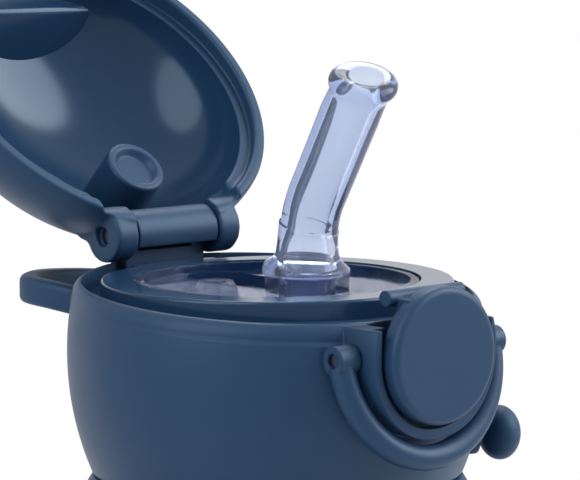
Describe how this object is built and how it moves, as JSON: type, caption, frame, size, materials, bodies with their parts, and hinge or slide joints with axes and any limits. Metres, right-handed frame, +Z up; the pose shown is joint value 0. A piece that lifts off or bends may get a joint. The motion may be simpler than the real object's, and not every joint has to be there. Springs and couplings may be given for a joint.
{
  "type": "folding water bottle",
  "caption": "Collapsible silicone drinking bottle with a screw cap, hinged flip lid, bite straw, push-button latch, safety bail and carry strap.",
  "frame": {"origin": "centre of the base cup's underside", "axes": "+Z up along the bottle's axis, -Y towards the release button, +Y towards the lid's hinge"},
  "size_m": [0.0859, 0.1249, 0.2115],
  "materials": {
    "silicone_navy": "soft matte silicone",
    "neck_white": "moulded",
    "seal_rubber": "soft silicone",
    "collar_navy": "satin moulded plastic",
    "lid_navy": "satin outside, glossy inside",
    "clear_disc": "clear, glossy",
    "clear_silicone": "frosted clear silicone",
    "steel": "plain",
    "strap_navy": "soft matte silicone"
  },
  "bodies": {
    "base": {"base_cup": "silicone_navy", "lower_web": "silicone_navy"},
    "middle": {"middle_band": "silicone_navy", "upper_web": "silicone_navy"},
    "upper": {"upper_shell": "silicone_navy", "neck_ring": "neck_white"},
    "gasket": {"neck_gasket": "seal_rubber"},
    "cap": {"collar": "collar_navy", "disc_ring": "collar_navy", "spout_disc": "clear_disc", "disc_seal": "seal_rubber", "mouthpiece": "clear_silicone", "straw_tube": "clear_silicone", "vent_valve": "clear_silicone", "hinge_pin": "steel", "lid_spring": "steel", "button_pin": "steel", "button_spring": "steel", "bail_pins": "steel", "carry_strap": "strap_navy", "strap_stud": "strap_navy"},
    "lid": {"flip_lid": "lid_navy"},
    "button": {"release_button": "collar_navy"},
    "bail": {"lock_bail": "collar_navy"}
  },
  "joints": [
    {"name": "fold_lower", "type": "slide", "parent": "base", "child": "middle", "axis": [0, 0, -1], "range_m": [0, 0.032], "deforming": ["lower_web", "straw_tube"]},
    {"name": "fold_upper", "type": "slide", "parent": "middle", "child": "upper", "axis": [0, 0, -1], "range_m": [0, 0.026], "deforming": ["upper_web"]},
    {"name": "cap_rise", "type": "slide", "parent": "upper", "child": "gasket", "axis": [0, 0, 1], "range_m": [0, 0.006]},
    {"name": "cap_turn", "type": "hinge", "parent": "gasket", "child": "cap", "pos_m": [0, 0, 0.14], "axis": [0, 0, 1], "range_deg": [0, 540]},
    {"name": "lid_hinge", "type": "hinge", "parent": "cap", "child": "lid", "pos_m": [0, 0.0319, 0.1575], "axis": [1, 0, 0], "range_deg": [0, 136], "stiffness_Nm_per_rad": 0.004, "springref_deg": -17.19, "deforming": ["mouthpiece"]},
    {"name": "button_rock", "type": "hinge", "parent": "cap", "child": "button", "pos_m": [0, -0.0366, 0.1394], "axis": [1, 0, 0], "range_deg": [0, 8], "stiffness_Nm_per_rad": 0.3, "springref_deg": -2.86, "deforming": ["button_spring"]},
    {"name": "bail_swing", "type": "hinge", "parent": "cap", "child": "bail", "pos_m": [0, -0.036, 0.1432], "axis": [1, 0, 0], "range_deg": [-160, 0]}
  ],
  "couplings": [
    {"joint": "fold_upper", "follows": "fold_lower", "ratio": 0.8125},
    {"joint": "cap_rise", "follows": "cap_turn", "m_per_rad": 0.00063662}
  ]
}
